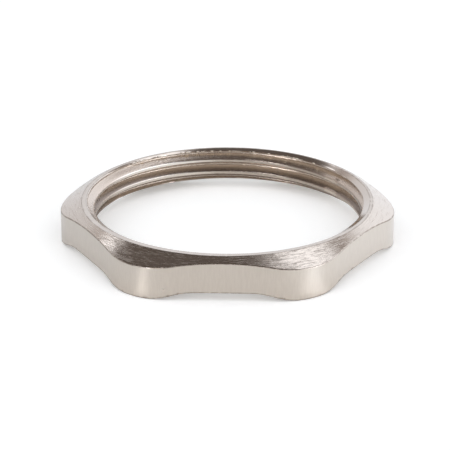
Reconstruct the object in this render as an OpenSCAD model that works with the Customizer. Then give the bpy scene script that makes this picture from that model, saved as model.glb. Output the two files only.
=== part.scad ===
// Earthing lock nut: a flat hexagonal nut with rounded corners, a bevelled top and a
// countersunk fine-thread bore. A dished recess in the underside leaves six sharp feet
// at the corners, which bite through paint to reach bare metal. The nut lies on its
// feet, with the bore upright on the Z axis and two corners on the X axis.

/* [Hexagon] */
// Width across the flats
across_flats = 35; // [34:0.5:43]
// Radius that rounds the six corners
corner_radius = 8; // [5:0.1:10]
// Angle of the faint edge where a corner's round leaves a flat
round_edge_angle = 3; // [2:0.5:6]
// Height from the feet to the top ring
height = 4.9; // [4.2:0.1:7]

/* [Bore] */
// Diameter of the screw that fits the thread
thread_diameter = 32; // [26:0.5:32]
// Pitch of the thread
thread_pitch = 1.5; // [1:0.25:2]
// Play between the screw and the mouth of the bore, on the diameter
mouth_play = 0.2; // [0:0.1:0.8]
// Slope of the two countersinks, measured from the face
countersink_angle = 30; // [20:1:40]

/* [Top] */
// Width of the flat ring around the mouth of the bore
ring_width = 0.45; // [0.2:0.05:0.8]
// Slope of the bevel outside the ring, measured from the face
bevel_angle = 28; // [10:1:35]

/* [Underside] */
// Depth of the recess between the feet
recess_depth = 0.95; // [0.4:0.05:1.2]
// Slope of the recess wall, measured from the upright
recess_wall_angle = 45; // [15:1:50]
// Width of the flat land on the tip of each foot
foot_land = 0.08; // [0.06:0.02:0.3]

/* [Hidden] */
$fn = 96;
nickel = [0.76, 0.73, 0.68];
corners = 6;
half_corner = 180 / corners;
// The round of each corner is centred here, and reaches out to corner_reach
corner_centre = (across_flats / 2 - corner_radius * cos(round_edge_angle)) / cos(half_corner);
corner_reach = corner_centre + corner_radius;
// Material beyond this distance from the axis is trimmed to the round
trim_distance = corner_centre + corner_radius * cos(half_corner);
// A sixty degree thread is cut five eighths of its full triangle deep
bore_radius = thread_diameter / 2 - 5 / 8 * cos(30) * thread_pitch;
mouth_radius = (thread_diameter + mouth_play) / 2;
countersink_depth = (mouth_radius - bore_radius) * tan(countersink_angle);
ring_radius = mouth_radius + ring_width;
// The turned section runs a little past the corners
turned_radius = corner_reach + 1;
bevel_drop = (turned_radius - ring_radius) * tan(bevel_angle);
foot_radius = corner_reach - foot_land;
recess_radius = foot_radius - recess_depth * tan(recess_wall_angle);

// Sharp corner that lies outside a corner's round
module corner_waste() {
    difference() {
        translate([trim_distance, -corner_radius])
            square(2 * corner_radius);
        translate([corner_centre, 0])
            circle(r = corner_radius);
    }
}

module hexagon() {
    difference() {
        circle(r = across_flats / 2 / cos(half_corner), $fn = corners);
        for (i = [0 : corners - 1])
            rotate(i * 2 * half_corner)
                corner_waste();
    }
}

// Half section: countersunk bore, recess with a sloping wall, bevel and top ring
module turned_section() {
    polygon([
        [bore_radius, recess_depth + countersink_depth],
        [mouth_radius, recess_depth],
        [recess_radius, recess_depth],
        [foot_radius, 0],
        [turned_radius, 0],
        [turned_radius, height - bevel_drop],
        [ring_radius, height],
        [mouth_radius, height],
        [bore_radius, height - countersink_depth]
    ]);
}

module earthing_nut() {
    color(nickel)
        intersection() {
            translate([0, 0, -1])
                linear_extrude(height + 2)
                    hexagon();
            rotate_extrude()
                turned_section();
        }
}

earthing_nut();
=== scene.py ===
import math

import bmesh
import bpy
import numpy as np
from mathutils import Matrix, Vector


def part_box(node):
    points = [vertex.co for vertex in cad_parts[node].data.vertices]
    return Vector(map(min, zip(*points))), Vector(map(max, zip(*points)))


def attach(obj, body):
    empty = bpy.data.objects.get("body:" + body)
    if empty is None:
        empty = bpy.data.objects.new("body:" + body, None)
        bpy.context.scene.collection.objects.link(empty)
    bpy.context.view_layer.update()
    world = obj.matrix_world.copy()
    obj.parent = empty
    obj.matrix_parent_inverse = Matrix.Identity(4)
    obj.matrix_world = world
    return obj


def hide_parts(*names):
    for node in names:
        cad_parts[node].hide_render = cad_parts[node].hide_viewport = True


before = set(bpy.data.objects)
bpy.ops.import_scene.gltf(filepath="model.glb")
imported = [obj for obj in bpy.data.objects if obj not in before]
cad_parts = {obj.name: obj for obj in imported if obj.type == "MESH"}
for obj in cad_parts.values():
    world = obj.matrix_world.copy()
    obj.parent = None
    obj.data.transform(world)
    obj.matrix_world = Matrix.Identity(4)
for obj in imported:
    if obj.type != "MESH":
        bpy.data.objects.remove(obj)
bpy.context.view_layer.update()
print("frame loaded:", sorted(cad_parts))

perMetre = 1000  # the nut is worked out in millimetres and put into its mesh in metres
white = (1, 1, 1, 1)
black = (0, 0, 0, 1)


# a socket that can stand in sums
class Wire:
    def __init__(self, bench, socket):
        self.bench = bench
        self.socket = socket

    def __add__(self, other):
        return self.bench.maths("ADD", self, other)

    def __sub__(self, other):
        return self.bench.maths("SUBTRACT", self, other)

    def __rsub__(self, other):
        return self.bench.maths("SUBTRACT", other, self)

    def __mul__(self, other):
        return self.bench.maths("MULTIPLY", self, other)

    def __truediv__(self, other):
        return self.bench.maths("DIVIDE", self, other)

    def __rtruediv__(self, other):
        return self.bench.maths("DIVIDE", other, self)

    __radd__ = __add__
    __rmul__ = __mul__


# the bench on which the nodes of a material or a world are laid out
class Bench:
    def __init__(self, owner):
        owner.use_nodes = True
        self.tree = owner.node_tree
        self.tree.nodes.clear()

    def node(self, kind, settings=None, sockets=None, out=0):
        made = self.tree.nodes.new(kind)
        for key, value in (settings or {}).items():
            setattr(made, key, value)
        for key, value in (sockets or {}).items():
            if isinstance(value, Wire):
                self.tree.links.new(value.socket, made.inputs[key])
            else:
                made.inputs[key].default_value = value
        return Wire(self, made.outputs[out]) if len(made.outputs) else None

    def maths(self, operation, *values):
        return self.node("ShaderNodeMath", {"operation": operation}, dict(enumerate(values)))

    def smooth(self, value, low, high):
        ends = {"Value": value, "From Min": low, "From Max": high}
        return self.node("ShaderNodeMapRange", {"interpolation_type": "SMOOTHSTEP"}, ends)

    def noise(self, x, y, z, detail=2.0, rough=0.6):
        vector = self.node("ShaderNodeCombineXYZ", None, {"X": x, "Y": y, "Z": z})
        place = {"Vector": vector, "Scale": 1.0, "Detail": detail, "Roughness": rough}
        return self.node("ShaderNodeTexNoise", {"noise_dimensions": "3D"}, place)

    # colours are mixed by this node, because sums turn them grey; its colour sockets go by number
    def blend(self, factor, a, b):
        return self.node("ShaderNodeMix", {"data_type": "RGBA"}, {0: factor, 6: a, 7: b}, 2)

    def painted(self, name):
        return self.node("ShaderNodeAttribute", {"attribute_name": name}, None, "Fac")

    def axes(self, vector):
        made = self.node("ShaderNodeSeparateXYZ", None, {"Vector": vector})
        return [Wire(self, output) for output in made.socket.node.outputs]


# the nut's sizes in millimetres and angles in degrees; the overall sizes come from the frame
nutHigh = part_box("earthing_nut")[1]
nut = {
    "halfFlats": nutHigh[1] * perMetre,
    "reach": nutHigh[0] * perMetre,
    "height": nutHigh[2] * perMetre,
    # top, sides and underside
    "ringRadius": 16.55,
    "bevelSlope": math.tan(math.radians(28)),
    "topEdge": 0.09,  # rounding where the bevel meets a side
    "footEdge": 0.06,  # rounding of the cutting edge
    "footRadius": 18.90,
    "recessRadius": 17.95,
    "recessDepth": 0.95,
    "wallRounds": (0.04, 0.22),  # rounding of the recess wall's lower and upper end, as shares of the wall
    "wallSets": (0.01, 0.02),  # what is taken off those ends to make up for it
    # thread and countersinks
    "mouthRadius": 16.12,
    "sinkSlope": math.tan(math.radians(30)),
    "boreShift": (0.10, 0.20),  # the thread was cut a little off the middle
    "shiftFade": (0.08, 0.35),  # distances outside the mouth between which the shift fades
    "threadDiameter": 32.0,
    "pitch": 1.5,
    "crestAtZero": 3.26,  # height of a crest on the +X side
    # heights from a crest as shares of the pitch: end of the root below, start and end of the flat crest,
    # end of its broken upper edge, start of the root above
    "profile": (-7 / 16, -1 / 8, 0.08, 0.22, 0.46),
    "breakDepth": 0.31,  # share of the thread's depth at the end of the broken edge
    "facetDepth": 0.10,  # the same where that edge is pressed
    "facetTaper": (33, 37),
    "facetEnd": (42.6, 43.4),
    "threadEdge": 0.05,  # rounding of the thread's corners
    "ridgeEdge": 0.02,  # rounding where the thread runs into a countersink
    "boredEdge": 0.03,  # the thread's finish fades over this at a countersink
    # burrs along the ridge where the thread runs into the upper countersink
    "burrs": 46,
    "burrSeed": 11,
    "burrRange": (48, 140),
    "burrSize": (0.03, 0.09),
    "burrWidth": 0.45,  # degrees
    "burrReach": 0.10,  # how far down both slopes a burr goes
    "burrHeights": (4.4, 4.6),  # the lower ridge has none
    # painted shade in the bore; the heights that start and end it above a crest, then the height where it is
    # gone
    "grooveShadeStart": (0.10, 0.20),
    "grooveShadeEnd": (0.35, 0.66),
    "grooveShadeTop": (3.1, 3.6),
    "crestShade": 0.5,
    "crestShadeWidth": (0.10, 0.22),
    "crestShadeEnd": (72, 112),
    "facetClear": (0.24, 0.36),  # a pressed edge has no painted shade up to here
    "lowShade": 0.7,
    "lowShadeTop": (1.2, 1.9),
    "farShade": 0.75,
    "farShadeTop": (2.0, 2.9),
    "farShadeStart": (138, 168),
    "farShadeEnd": (205, 235),
    # polish on the crests of the other side, with a painted highlight in their colour
    "polishHighlightStart": (92, 112),
    "polishHighlightEnd": (142, 160),
    "polishHighlightBelow": (-0.26, -0.18),  # heights from a crest
    "polishHighlightAbove": (0.14, 0.24),
    "polishHighlightLow": 0.55,  # what the lower crest has of it
    "polishHighlightRise": (2.6, 3.4),
    # unevenness of the sharp outer edges: how many waves go round and how large each is
    "nicks": 0.025 / 3,
    "nickWaves": ((97, 1.0), (143, 0.8), (211, 0.7), (307, 0.6), (391, 0.5)),
    "topNicks": 0.6,  # what the top edge has of it
    "topShift": 0.3,
    "footShift": 1.1,
    # dull lines along the edges, with painted shade in their colour
    "edgeLine": 0.10,
    "edgeCore": 0.3,  # share of the line that is full
    "edgeInset": (0.02, 0.015),  # how far inside the top edge's and the cutting edge's corner the line runs
    "ringDullShade": 0.5,
    "frontDullShade": 0.3,  # on the top edge the painted shade is weakest at the front and back
    "shadedCorner": (248, 7),  # but full on this corner, where the painted shade covers a bright reflection: place and width in degrees
    "footLine": (1.5, 1.6),  # width on the cutting edge, and what a chip adds
    "chips": 44,  # specks where the cutting edge has crumbled
    "chipSeed": 5,
    "chipWidth": 0.4,  # degrees
    # rows of the skin, as distances from the edge that they lie beside or as shares of a face
    "around": 840,
    "rowsPerPitch": 25,
    "edgeSteps": 9,
    "turnSteps": 6,
    "faceGap": 0.05,
    "lipGap": 0.01,
    "mouthRows": (0.03, 0.08),
    "ringRows": (-0.08, -0.02, 0, 0.02, 0.08),
    "bevelShares": (0.3, 0.6, 1.0),
    "sideShares": (0, 0.35, 0.7),
    "footRows": (0.3, 0.2, 0.12, 0.06),
    "landRows": (0.05, 0.02, 0, -0.02, -0.06),
    "wallShares": (0.25, 0.5, 0.75),
    "recessRows": (0.04, 0.015, 0, -0.015, -0.04, -0.5),
    "underRows": (0.6, 0.05),
    "mergeGap": 2e-7,  # metres
    "thinEdge": 1e-8,  # metres
    "sharpAngle": 24,
}


# distance from the axis to the outline: a straight flat, or the round of the nearest corner
def hexOutline(angle):
    toFlat = np.pi / 6  # from a corner to the middle of the next flat
    fold = np.abs((angle + toFlat) % (2 * toFlat) - toFlat)
    half, reach, slant = nut["halfFlats"], nut["reach"], 1 / np.cos(toFlat)
    radius = (half * slant - reach) / (slant - 1)
    centre = reach - radius
    onFlat = half / np.cos(toFlat - fold)
    onRound = centre * np.cos(fold) + np.sqrt(radius**2 - (centre * np.sin(fold)) ** 2)
    touch = np.arctan2(radius * np.sin(toFlat), centre + radius * np.cos(toFlat))
    return np.where(fold < touch, onRound, onFlat)


# larger of two values, with the corner between them rounded over a width
def softMax(a, b, width):
    return 0.5 * (a + b + np.sqrt((a - b) ** 2 + width**2))


# even step from 0 to 1 between two values
def ramp(value, low, high):
    share = np.clip((value - low) / (high - low), 0, 1)
    return share * share * (3 - 2 * share)


# height of the top at a radius: the flat ring, and outside it the cone of the bevel
def topHeight(radius):
    return nut["height"] - np.maximum(radius - nut["ringRadius"], 0) * nut["bevelSlope"]


# height of the underside at a radius: floor of the recess, its sloping wall with both ends rounded, and the
# foot's land
def underHeight(radius):
    share = (nut["footRadius"] - radius) / (nut["footRadius"] - nut["recessRadius"])
    lowRound, highRound = nut["wallRounds"]
    lowSet, highSet = nut["wallSets"]
    risen = softMax(share, 0, lowRound) - lowSet
    return nut["recessDepth"] * np.clip(highSet - softMax(-risen, -1, highRound), 0, 1)


# radius of the thread at a height from the nearest crest: the straight flank under the crest, the flat
# crest, its broken or pressed upper edge, the straight flank above that and the root, with each corner
# averaged round
def threadRadius(fromCrest, facet):
    deep = 5 / 8 * np.cos(np.pi / 6) * nut["pitch"]  # as in any metric thread
    heights = np.array(nut["profile"]) * nut["pitch"]
    steps = np.linspace(-1, 1, nut["edgeSteps"]) * nut["threadEdge"]

    def cut(edgeDepth):
        depths = (1, 0, 0, edgeDepth, 1)
        return sum(np.interp(fromCrest + step, heights, depths) for step in steps) / len(steps)

    share = cut(nut["breakDepth"]) * (1 - facet) + cut(nut["facetDepth"]) * facet
    return nut["threadDiameter"] / 2 - deep + deep * share


# where a crest's upper edge is pressed: rises slowly to 1 and ends at a step
def pressedFacet(turn):
    return ramp(turn, *nut["facetTaper"]) * (1 - ramp(turn, *nut["facetEnd"]))


# painted shade in the bore: most just above a crest and fading towards the root, a little on the crests of
# one side, and all over the lowest part of the wall, which reaches higher on the far side
def boreShade(fromCrest, height, turn):
    onFlank = ramp(fromCrest, *nut["grooveShadeStart"]) * (1 - ramp(fromCrest, *nut["grooveShadeEnd"]))
    onFlank = onFlank * (1 - ramp(height, *nut["grooveShadeTop"]))
    oneSide = 1 - ramp(turn, *nut["crestShadeEnd"])
    onCrest = nut["crestShade"] * oneSide * (1 - ramp(np.abs(fromCrest), *nut["crestShadeWidth"]))
    clear = pressedFacet(turn) * (1 - ramp(fromCrest, *nut["facetClear"]))
    farSide = ramp(turn, *nut["farShadeStart"]) * (1 - ramp(turn, *nut["farShadeEnd"]))
    lowest = nut["lowShade"] * (1 - ramp(height, *nut["lowShadeTop"]))
    farLowest = nut["farShade"] * farSide * (1 - ramp(height, *nut["farShadeTop"]))
    return np.maximum(np.maximum(onFlank, onCrest) * (1 - clear), np.maximum(lowest, farLowest))


# polish and a painted highlight on the crests of the other side: 1 along the flat of a crest and 0 on its
# flanks, and less on the lower crest
def crestPolishAndHighlight(fromCrest, height, turn):
    otherSide = ramp(turn, *nut["polishHighlightStart"]) * (1 - ramp(turn, *nut["polishHighlightEnd"]))
    otherSide = otherSide * (nut["polishHighlightLow"] + (1 - nut["polishHighlightLow"]) * ramp(height, *nut["polishHighlightRise"]))
    return otherSide * ramp(fromCrest, *nut["polishHighlightBelow"]) * (1 - ramp(fromCrest, *nut["polishHighlightAbove"]))


# rows of the bore follow the helix: each row climbs one pitch per turn and stops at the two mouths, its
# radius is the largest of the thread and the two countersinks, and burrs stand in along the upper ridge
def boreRows(angle):
    pitch, low, high, mouth = nut["pitch"], nut["recessDepth"], nut["height"], nut["mouthRadius"]
    turn = np.degrees(angle)[:, None]
    climb = pitch * angle[:, None] / (2 * np.pi)
    gap = pitch / nut["rowsPerPitch"]
    height = np.clip(np.arange(low - pitch, high + gap, gap)[None, :] + climb, low, high)
    fromCrest = (height - nut["crestAtZero"] - climb + pitch / 2) % pitch - pitch / 2
    thread = threadRadius(fromCrest, pressedFacet(turn))
    upper = mouth - (high - height) / nut["sinkSlope"]
    lower = mouth - (height - low) / nut["sinkSlope"]
    radius = softMax(softMax(thread, upper, nut["ridgeEdge"]), lower, nut["ridgeEdge"])
    atRidge = np.exp(-(((thread - upper) / nut["burrReach"]) ** 2)) * ramp(height, *nut["burrHeights"])
    draw = np.random.default_rng(nut["burrSeed"])
    places = draw.uniform(*nut["burrRange"], nut["burrs"])
    sizes = draw.uniform(*nut["burrSize"], nut["burrs"])
    burrs = (np.exp(-(((turn - places) / nut["burrWidth"]) ** 2)) @ sizes)[:, None] * atRidge
    atMouth = (height <= low) | (height >= high)
    radius = np.where(atMouth, mouth, np.minimum(radius - burrs, mouth))
    bored = 1 - ramp(np.maximum(upper, lower) - thread, -nut["boredEdge"], nut["boredEdge"])
    painted = {
        "boredFace": bored,
        "boreShade": bored * boreShade(fromCrest, height, turn),
        "crestPolishAndHighlight": bored * crestPolishAndHighlight(fromCrest, height, turn),
        "burrTips": np.clip(burrs / max(nut["burrSize"]), 0, 1),
    }
    return radius, height, painted


# uneven run along a sharp edge: sum of a few waves whose counts share no factor, so that it doesn't repeat
def nicks(angle, shift):
    waves = [size * np.sin(count * angle + shift * count) for count, size in nut["nickWaves"]]
    return nut["nicks"] * sum(waves)


# rows outside the bore, from the mouth over the ring, bevel, side, cutting edge and recess back to the bore;
# each is a radius, a height and how far it belongs to a drawn side
def outerRows(angle):
    reach = hexOutline(angle)
    rows = []

    def put(radius, height, drawn=0.0):
        one = np.ones_like(reach)
        rows.append((radius * one, height * one, drawn * one))

    # curve from one face to the next, leaning on the corner between them
    def bend(first, corner, last, drawnFrom, drawnTo):
        for share in np.linspace(0, 1, nut["turnSteps"]):
            a, b, c = (1 - share) ** 2, 2 * share * (1 - share), share**2
            radius, height = [a * first[i] + b * corner[i] + c * last[i] for i in (0, 1)]
            put(radius, height, drawnFrom + share * (drawnTo - drawnFrom))

    mouth, ring, edge, lip = nut["mouthRadius"], nut["ringRadius"], nut["topEdge"], nut["footEdge"]
    flat = [mouth + step for step in nut["mouthRows"]] + [ring + step for step in nut["ringRows"]]
    outer = reach - edge - nut["faceGap"]
    for radius in flat + [flat[-1] + share * (outer - flat[-1]) for share in nut["bevelShares"]]:
        put(radius, topHeight(radius))
    corner = topHeight(reach) + nicks(angle, nut["topShift"]) * nut["topNicks"]
    bend((reach - edge, topHeight(reach - edge)), (reach, corner), (reach, corner - edge), 0, 1)
    foot = underHeight(reach) + np.maximum(nicks(angle, nut["footShift"]), 0)
    high, low = corner - edge - nut["faceGap"], foot + lip
    for share in nut["sideShares"]:
        put(reach, high + share * (low + nut["footRows"][0] - high), 1)
    for rise in nut["footRows"]:
        put(reach, low + rise, 1)
    bend((reach, low), (reach, foot), (reach - lip, underHeight(reach - lip)), 1, 0)
    wall, inner = nut["footRadius"], nut["recessRadius"]
    under = [wall + step for step in nut["landRows"]]
    under += [wall + share * (inner - wall) for share in nut["wallShares"]]
    under += [inner + step for step in nut["recessRows"]]
    under += [mouth + step for step in nut["underRows"]]
    for radius in under:
        near = np.minimum(radius, reach - lip - nut["lipGap"])
        put(near, underHeight(near))
    return [np.stack(part, axis=1) for part in zip(*rows)]


# dullness and painted shade near the edges: 1 on the line of an edge and 0 at a little distance from it, and
# on the cutting edge the line is wider at each chip
def edgeDullnessAndShade(angle, radius, height):
    turn = np.degrees(angle)[:, None]
    reach = hexOutline(angle)[:, None]
    front = nut["frontDullShade"]
    sideways = front + (1 - front) * np.cos(angle)[:, None] ** 2
    shadedCornerPlace, shadedCornerWidth = nut["shadedCorner"]
    shadedCorner = np.exp(-(((turn - shadedCornerPlace) / shadedCornerWidth) ** 2))
    places = np.random.default_rng(nut["chipSeed"]).uniform(0, 360, nut["chips"])
    chips = np.exp(-(((turn - places) / nut["chipWidth"]) ** 2)).max(axis=1)[:, None]
    footWidth = nut["footLine"][0] + nut["footLine"][1] * chips
    topInset, footInset = nut["edgeInset"]
    # radius, height, strength and width of each line
    lines = (
        (nut["mouthRadius"], nut["height"], nut["ringDullShade"], 1),
        (nut["ringRadius"], nut["height"], nut["ringDullShade"], 1),
        (reach - topInset, topHeight(reach) - topInset, np.maximum(sideways, shadedCorner), 1),
        (reach - footInset, underHeight(reach) + footInset, 1, footWidth),
    )
    total = 0 * radius
    core, end = nut["edgeCore"] * nut["edgeLine"], nut["edgeLine"]
    for lineRadius, lineHeight, strength, width in lines:
        away = np.hypot(radius - lineRadius, height - lineHeight) / width
        total = np.maximum(total, strength * (1 - ramp(away, core, end)))
    return total


# the whole skin is one closed loop of rows carried once around the axis, with the rows of the bore moved a
# little sideways
def nutSkin():
    count = nut["around"]
    angle = np.linspace(0, 2 * np.pi, count + 1)
    boreRadius, boreHeight, borePainted = boreRows(angle)
    outRadius, outHeight, outDrawn = outerRows(angle)
    radius = np.concatenate([boreRadius, outRadius], axis=1)
    height = np.concatenate([boreHeight, outHeight], axis=1)
    fadeStart, fadeEnd = nut["shiftFade"]
    moved = 1 - ramp(radius, nut["mouthRadius"] + fadeStart, nut["mouthRadius"] + fadeEnd)
    across = radius * np.cos(angle)[:, None] + moved * nut["boreShift"][0]
    along = radius * np.sin(angle)[:, None] + moved * nut["boreShift"][1]
    points = np.stack((across, along, height), axis=2).reshape(-1, 3) / perMetre
    rowCount = radius.shape[1]
    i, j = np.meshgrid(np.arange(count), np.arange(rowCount), indexing="ij")
    k = (j + 1) % rowCount
    ring, nextRing = i * rowCount, (i + 1) * rowCount
    quads = np.stack([ring + j, nextRing + j, nextRing + k, ring + k], axis=2).reshape(-1, 4)
    noBore, noOutside = np.zeros_like(boreRadius), np.zeros_like(outRadius)
    painted = {name: np.concatenate([values, noOutside], axis=1) for name, values in borePainted.items()}
    painted["drawnFace"] = np.concatenate([noBore, outDrawn], axis=1)
    painted["dullShadedEdge"] = edgeDullnessAndShade(angle, radius, height)
    return points, quads, painted


# the skin becomes a mesh, with the doubles at its seam and mouths merged and its faces turned outwards
def makeNut():
    points, quads, painted = nutSkin()
    mesh = bpy.data.meshes.new("earthingNut")
    mesh.from_pydata(points.tolist(), [], quads.tolist())
    for name, values in painted.items():
        layer = mesh.attributes.new(name, "FLOAT", "POINT")
        layer.data.foreach_set("value", values.ravel().astype(np.float32))
    shaped = bmesh.new()
    shaped.from_mesh(mesh)
    bmesh.ops.remove_doubles(shaped, verts=shaped.verts[:], dist=nut["mergeGap"])
    bmesh.ops.dissolve_degenerate(shaped, dist=nut["thinEdge"], edges=shaped.edges[:])
    bmesh.ops.recalc_face_normals(shaped, faces=shaped.faces[:])
    loose = sum(len(edge.link_faces) != 2 for edge in shaped.edges)
    triangles = sum(len(face.verts) - 2 for face in shaped.faces)
    volume = shaped.calc_volume(signed=True) * perMetre**3
    print("nut skin: triangles", triangles, "open edges", loose, "volume in mm3", round(volume, 1))
    shaped.to_mesh(mesh)
    shaped.free()
    mesh.polygons.foreach_set("use_smooth", np.ones(len(mesh.polygons), bool))
    mesh.set_sharp_from_angle(angle=math.radians(nut["sharpAngle"]))
    piece = bpy.data.objects.new("earthingNut", mesh)
    bpy.context.scene.collection.objects.link(piece)
    return piece


# nickel plate; a grain is how fine a pattern is, per radian around and per millimetre up or outwards
plate = {
    "tint": (0.66, 0.593, 0.522, 1),
    "shaded": (0.54, 0.47, 0.41, 1),
    "boredTint": (0.62, 0.535, 0.455, 1),
    # painted shade in the thread's grooves and low in the bore
    "boreShadeTint": (0.27, 0.22, 0.185, 1),
    # painted highlight on the polished crests
    "crestHighlightTint": (0.88, 0.82, 0.75, 1),
    # painted glint on the burrs' tips
    "burrGlintTint": (0.95, 0.86, 0.72, 1),
    # painted shade on the lines along the edges
    "edgeShadeTint": (0.26, 0.21, 0.165, 1),
    "turnedStart": 0.1,  # the marks on the top start this far outside the mouth
    "turnedRough": 0.13,
    "fleckGrain": (14, 11),
    "fleckDepth": 0.75,
    "lineGrain": (6, 20),
    "lineDepth": 0.45,
    "streakMix": (0.6, 0.4),  # flecks and lines in a streak
    "streakRange": (0.50, 0.62),
    "streakRough": 0.30,
    "streakShade": 0.05,
    "drawnGrain": (7, 0.9),  # sideways and up
    "drawnDepth": 0.2,
    "drawnRough": 0.29,
    "drawnRange": (0.7, 0.3),
    "drawnShade": 0.3,
    "threadGrain": (25, 45, 27),  # around, up and outwards
    "threadDepth": 0.65,
    "polishLoss": 0.9,  # how much of the thread's marks is gone on a polished crest
    "boredRough": 0.20,
    "tipRange": (0.15, 0.4),
    "tipRough": 0.35,
    "tipGlintCover": 0.7,  # how far the burrs' tips lose their metal, so that they show a painted glint from any side
    "edgeShadeGrain": (30, 4),
    "edgeShadeRange": (0.25, 0.55),
    "dullRough": 0.1,
    "cloudGrain": 0.3,
    "cloudRough": 0.08,
    "markDepth": 1.8e-5,  # metres; the depths above are shares of it
}


# short cutter marks around the turned faces, upright drawing marks on the sides, and fine lines along the
# thread; the bump is the sum of their depths and the roughness the sum of the faces' own
def nickelPlate():
    material = bpy.data.materials.new("nickelPlate")
    bench = Bench(material)
    x, y, z = [axis * perMetre for axis in bench.axes(bench.node("ShaderNodeTexCoord", out="Object"))]
    radius = bench.maths("SQRT", x * x + y * y)
    aroundX, aroundY = x / radius, y / radius

    def ringNoise(around, across, **kind):
        return bench.noise(aroundX * around, aroundY * around, across, **kind)

    drawn, bored, dullShade = [bench.painted(name) for name in ("drawnFace", "boredFace", "dullShadedEdge")]
    polishAndHighlight = bench.painted("crestPolishAndHighlight")
    turned = (1 - drawn) * (1 - bored)
    outside = turned * bench.smooth(radius, nut["mouthRadius"] + plate["turnedStart"], nut["ringRadius"])
    around, outwards = plate["fleckGrain"]
    flecks = ringNoise(around, radius * outwards)
    around, outwards = plate["lineGrain"]
    lines = ringNoise(around, radius * outwards)
    fleckShare, lineShare = plate["streakMix"]
    streaks = bench.smooth(flecks * fleckShare + lines * lineShare, *plate["streakRange"])
    sideways, upwards = plate["drawnGrain"]
    upright = bench.noise(x * sideways, y * sideways, z * upwards, detail=3.0)
    around, upwards, outwards = plate["threadGrain"]
    helical = ringNoise(around, z * upwards + radius * outwards, detail=1.0, rough=0.5)
    around, upwards = plate["edgeShadeGrain"]
    edgeShadePatches = bench.smooth(ringNoise(around, z * upwards), *plate["edgeShadeRange"])
    clouds = bench.noise(*[axis * plate["cloudGrain"] for axis in (x, y, z)], detail=3.0)
    tips = bench.smooth(bench.painted("burrTips"), *plate["tipRange"])

    height = outside * (flecks * plate["fleckDepth"] + lines * plate["lineDepth"])
    height = height + drawn * upright * plate["drawnDepth"]
    height = height + bored * (1 - polishAndHighlight * plate["polishLoss"]) * helical * plate["threadDepth"]
    bump = bench.node("ShaderNodeBump", None, {"Distance": plate["markDepth"], "Height": height})

    shade = outside * streaks * plate["streakShade"]
    shade = shade + drawn * bench.smooth(upright, *plate["drawnRange"]) * plate["drawnShade"]
    # painted shade in the grooves and low in the bore
    threaded = bench.blend(bench.painted("boreShade"), plate["boredTint"], plate["boreShadeTint"])
    # painted highlight on the crests of the other side
    threaded = bench.blend(polishAndHighlight, threaded, plate["crestHighlightTint"])
    tint = bench.blend(bored, bench.blend(shade, plate["tint"], plate["shaded"]), threaded)
    # painted glint: the burrs' tips get a pale colour
    tint = bench.blend(tips, tint, plate["burrGlintTint"])
    # painted shade along the edges, broken into patches
    tint = bench.blend(dullShade * edgeShadePatches, tint, plate["edgeShadeTint"])

    rough = turned * plate["turnedRough"] + outside * streaks * plate["streakRough"]
    rough = rough + drawn * plate["drawnRough"] + bored * plate["boredRough"]
    rough = rough + (clouds - 0.5) * plate["cloudRough"] + dullShade * plate["dullRough"]
    rough = rough + tips * plate["tipRough"]
    # less metal on the burrs' tips is part of the same painted glint
    metal = 1 - tips * plate["tipGlintCover"]
    sockets = {"Base Color": tint, "Metallic": metal, "Roughness": rough, "Normal": bump}
    shader = bench.node("ShaderNodeBsdfPrincipled", None, sockets)
    bench.node("ShaderNodeOutputMaterial", None, {"Surface": shader})
    return material


# the room that the metal mirrors: bright walls at the back and sides, a dim front, a dark ceiling with three
# soft lights, and an upright strip; x, y and z below are parts of a direction
room = {
    "walls": 1.06,
    "wallsToRight": 0.42,  # how much brighter the right is
    "front": 0.30,
    "frontEdge": (-0.45, 0.15),  # y between which the front turns into the walls
    "rightStart": (0.3, 0.9),  # x between which the right wall comes forward
    "rightForward": 0.5,
    "ceiling": 0.13,
    "ceilingEdge": (0.40, 0.60),  # z between which the walls turn into the ceiling
    "asideStart": (0.08, 0.35),  # x, to either side, between which that edge rises
    "asideRise": (0.08, 0.18),
    "highStart": (0.4, 0.7),  # x between which its lower end rises on the right
    "highRise": 0.3,
    # aim, spread and core in degrees, level
    "lights": (
        ((0.36, 0.33, 0.87), 14, 7, 1.45),
        ((-0.537, 0.482, 0.694), 6.5, 3, 1.75),
        ((0.85, -0.45, 0.22), 28, 12, 2.2),
    ),
    "strip": (230, 4.8, 1.2, 14.0),  # azimuth, spread and core in degrees, level
    "stripTop": (0.85, 0.6),  # z between which the strip starts
    "dim": (1.05, 0.90, 0.84, 1),
    "bright": (0.97, 1.0, 1.08, 1),
    "brightRange": (0.15, 1.1),
    "ambient": 0.58,  # what the floor is lit by, with the two suns
    "suns": (((0.5, -0.5, 0.7), 0.7), ((-0.5, -0.5, 0.7), 0.7)),  # aim, strength
    "sunSpread": 60,  # degrees
    # floor, in metres
    "floorSize": 2.0,
    "floorTint": (0.89, 0.90, 0.912, 1),
    "coolTint": (0.865, 0.90, 0.945, 1),  # mirrored on the left
    "coolStart": (-0.008, -0.024),
    "floorGlow": 0.262,
    "mirroredGlow": 0.08,
    "glowToRight": 0.27,
    "glowTint": (0.9, 1.0, 1.14, 1),  # mirrored on the right
    "glowStart": (0.004, 0.022),
    # streaks of light that the two front corners mirror: start, azimuth in degrees, half width, level
    "streaks": (((0.0098, -0.0163), 334, 0.0036, 0.36), ((-0.0090, -0.0168), 226.5, 0.0015, 0.42)),
    "streakCore": 0.2,  # share of the half width
    "streakStart": 0.002,
}


# whether a ray comes from the camera, from a glossy surface or through a clear one
def rayKinds(bench):
    outputs = bench.node("ShaderNodeLightPath").socket.node.outputs
    names = ("Is Camera Ray", "Is Glossy Ray", "Is Transmission Ray")
    return [Wire(bench, outputs[name]) for name in names]


# how far a direction is inside a light, from the cosine of the angle between them: 1 in the light's core and
# 0 past its spread
def inLight(bench, cosine, spread, core):
    return bench.smooth(cosine, math.cos(math.radians(spread)), math.cos(math.radians(core)))


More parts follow.
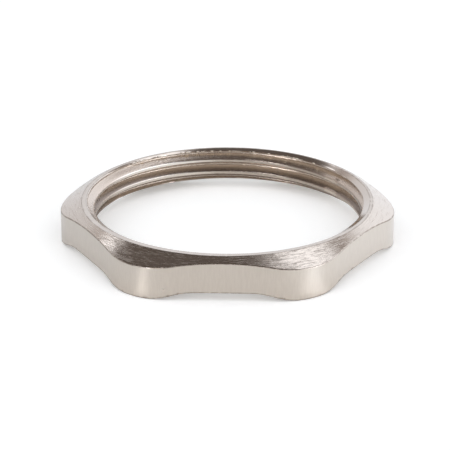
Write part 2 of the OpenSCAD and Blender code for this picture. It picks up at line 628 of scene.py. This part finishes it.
# level of the room in a direction: walls and front up to the ceiling's edge, then the ceiling, plus each
# light; the camera sees white, and rays that aren't mirrored see an even level
def lightRoom():
    world = bpy.data.worlds.new("paleRoom")
    bpy.context.scene.world = world
    bench = Bench(world)
    x, y, z = bench.axes(bench.node("ShaderNodeTexCoord", out="Generated"))
    seen, mirrored, _ = rayKinds(bench)
    walls = room["walls"] + x * room["wallsToRight"]
    forward = bench.smooth(x, *room["rightStart"]) * room["rightForward"]
    atBack = bench.smooth(y + forward, *room["frontEdge"])
    low = walls * atBack + room["front"] * (1 - atBack)
    aside = bench.smooth(bench.maths("ABSOLUTE", x), *room["asideStart"])
    edgeLow, edgeHigh = [edge + aside * rise for edge, rise in zip(room["ceilingEdge"], room["asideRise"])]
    edgeLow = edgeLow + bench.smooth(x, *room["highStart"]) * room["highRise"]
    high = bench.smooth(z, edgeLow, edgeHigh)
    level = low * (1 - high) + room["ceiling"] * high
    for aim, spread, core, strength in room["lights"]:
        unit = Vector(aim).normalized()
        toward = x * unit[0] + y * unit[1] + z * unit[2]
        level = level + strength * inLight(bench, toward, spread, core)
    azimuth, spread, core, strength = room["strip"]
    turn = math.radians(azimuth)
    flat = bench.maths("SQRT", x * x + y * y + 1e-6)  # never quite nothing
    toward = (x * math.cos(turn) + y * math.sin(turn)) / flat
    level = level + strength * inLight(bench, toward, spread, core) * bench.smooth(z, *room["stripTop"])
    tint = bench.blend(bench.smooth(level, *room["brightRange"]), room["dim"], room["bright"])
    level = (level * mirrored + room["ambient"] * (1 - mirrored)) * (1 - seen) + seen
    tint = bench.blend(mirrored, white, tint)
    shade = bench.node("ShaderNodeBackground", None, {"Color": tint, "Strength": level})
    bench.node("ShaderNodeOutputWorld", None, {"Surface": shade})
    for aim, strength in room["suns"]:
        sun = bpy.data.objects.new("sun", bpy.data.lights.new("sun", "SUN"))
        sun.data.energy = strength
        sun.data.angle = math.radians(room["sunSpread"])
        sun.rotation_euler = Vector(aim).to_track_quat("Z", "Y").to_euler()
        sun.visible_glossy = False  # it shades the floor, and the walls are what the metal mirrors
        bpy.context.scene.collection.objects.link(sun)


# one square of matt paper; its glow makes it white for the camera, and its streaks and tints show only in
# the metal
def makeFloor():
    mesh = bpy.data.meshes.new("floor")
    size = room["floorSize"]
    corners = [(-size, -size, 0), (size, -size, 0), (size, size, 0), (-size, size, 0)]
    mesh.from_pydata(corners, [], [(0, 1, 2, 3)])
    floor = bpy.data.objects.new("floor", mesh)
    bpy.context.scene.collection.objects.link(floor)
    material = bpy.data.materials.new("paleFloor")
    bench = Bench(material)
    seen, mirrored, through = rayKinds(bench)
    x, y, _ = bench.axes(bench.node("ShaderNodeTexCoord", out="Object"))
    toRight = bench.smooth(x, *room["glowStart"])
    shine = room["mirroredGlow"] + toRight * room["glowToRight"]
    for (startX, startY), azimuth, width, level in room["streaks"]:
        turnX, turnY = math.cos(math.radians(azimuth)), math.sin(math.radians(azimuth))
        ahead = (x - startX) * turnX + (y - startY) * turnY
        aside = bench.maths("ABSOLUTE", (y - startY) * turnX - (x - startX) * turnY)
        across = bench.smooth(aside, width, width * room["streakCore"])
        shine = shine + level * across * bench.smooth(ahead, 0, room["streakStart"])
    glow = (seen + through) * room["floorGlow"] + mirrored * shine
    glowTint = bench.blend(mirrored * toRight, white, room["glowTint"])
    toLeft = bench.smooth(x, *room["coolStart"])
    paper = bench.blend(mirrored * toLeft, room["floorTint"], room["coolTint"])
    matt = bench.node("ShaderNodeBsdfDiffuse", None, {"Color": paper})
    lit = bench.node("ShaderNodeEmission", None, {"Color": bench.blend(glow, black, glowTint)})
    both = bench.node("ShaderNodeAddShader", None, {0: matt, 1: lit})
    bench.node("ShaderNodeOutputMaterial", None, {"Surface": both})
    mesh.materials.append(material)


# the camera looks at a point near the middle of the nut; distances are in metres, angles in degrees, and the
# lens and sensor in millimetres
view = {
    "azimuth": -88.2005,
    "elevation": 22.5736,
    "distance": 0.244807,
    "aim": (-0.000257, 0.0, 0.001605),
    "lens": 171.389,
    "sensor": 36,
    "nearest": 0.01,
}


# place of the camera: the aim plus the distance along the direction that azimuth and elevation give
def placeCamera():
    turn, rise = math.radians(view["azimuth"]), math.radians(view["elevation"])
    direction = (math.cos(rise) * math.cos(turn), math.cos(rise) * math.sin(turn), math.sin(rise))
    away = Vector(direction) * view["distance"]
    camera = bpy.data.objects.new("camera", bpy.data.cameras.new("camera"))
    camera.location = Vector(view["aim"]) + away
    camera.rotation_euler = (-away).to_track_quat("-Z", "Y").to_euler()
    camera.data.lens = view["lens"]
    camera.data.sensor_width = view["sensor"]
    camera.data.clip_start = view["nearest"]
    bpy.context.scene.collection.objects.link(camera)
    bpy.context.scene.camera = camera


bpy.context.scene.view_settings.view_transform = "Standard"
placeCamera()
lightRoom()
makeFloor()
print("room ready")
piece = makeNut()
piece.data.materials.append(nickelPlate())
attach(piece, "root")
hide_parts("earthing_nut")
print("nut finished")
